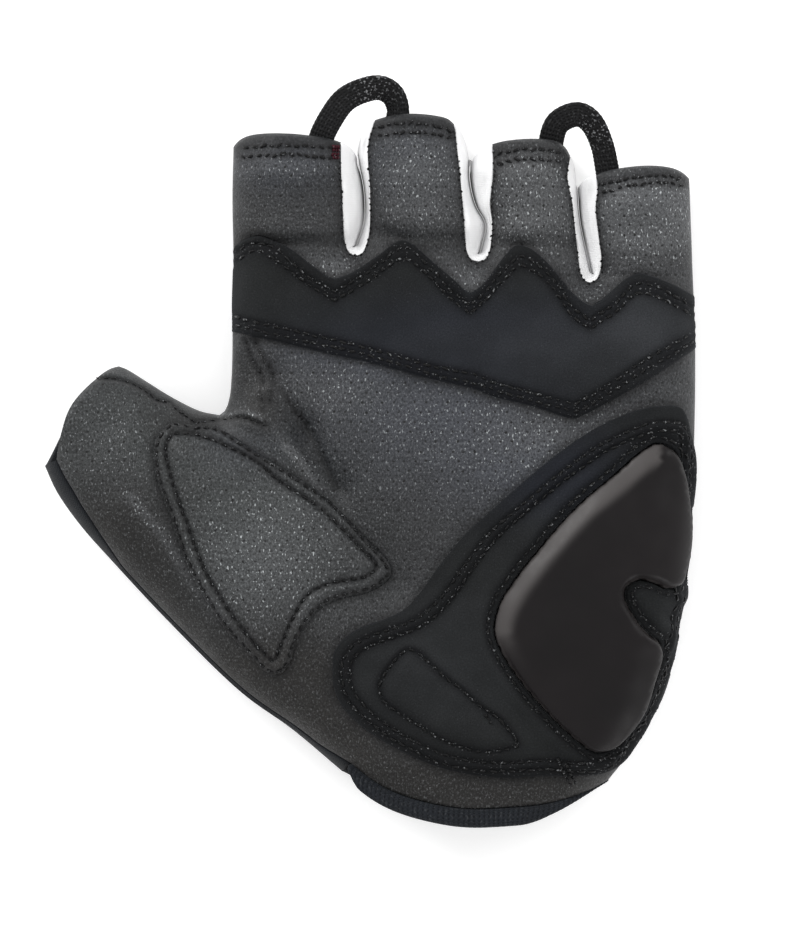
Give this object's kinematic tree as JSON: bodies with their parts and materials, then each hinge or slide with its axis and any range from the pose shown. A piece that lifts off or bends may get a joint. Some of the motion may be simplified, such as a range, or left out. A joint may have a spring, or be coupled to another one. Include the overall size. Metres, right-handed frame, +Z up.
{
  "type": "cycling glove",
  "caption": "Fingerless padded cycling mitt for the left hand: perforated leather palm, gel heel pad, zigzag knuckle band, white finger sides and webbing pull loops.",
  "frame": {"origin": "middle of the underside of the glove's box, on the surface that the glove lies on", "axes": "+X towards the little finger, +Y from the wrist to the fingertips, +Z up out of the palm"},
  "size_m": [0.1434, 0.1666, 0.0268],
  "materials": {
    "leather": "perforated, fine grained, semi-matt",
    "stretch_fabric": "plain knitted stretch fabric, matt",
    "white_fabric": "plain white stretch fabric, matt",
    "suede": "smooth suede-like microfibre, matt",
    "gel": "smooth satin gel pad",
    "webbing": "ribbed woven webbing, matt",
    "binding": "knitted binding, matt"
  },
  "bodies": {
    "root": {"palm_panel": "leather", "back_panel": "stretch_fabric", "fourchette_index_middle": "white_fabric", "fourchette_middle_ring": "white_fabric", "fourchette_ring_little": "white_fabric", "knuckle_band": "suede", "heel_patch": "suede", "gel_pad": "gel", "thumb_patch": "leather", "pull_loop_index_middle": "webbing", "pull_loop_ring_little": "webbing", "wrist_binding": "binding"}
  },
  "joints": []
}
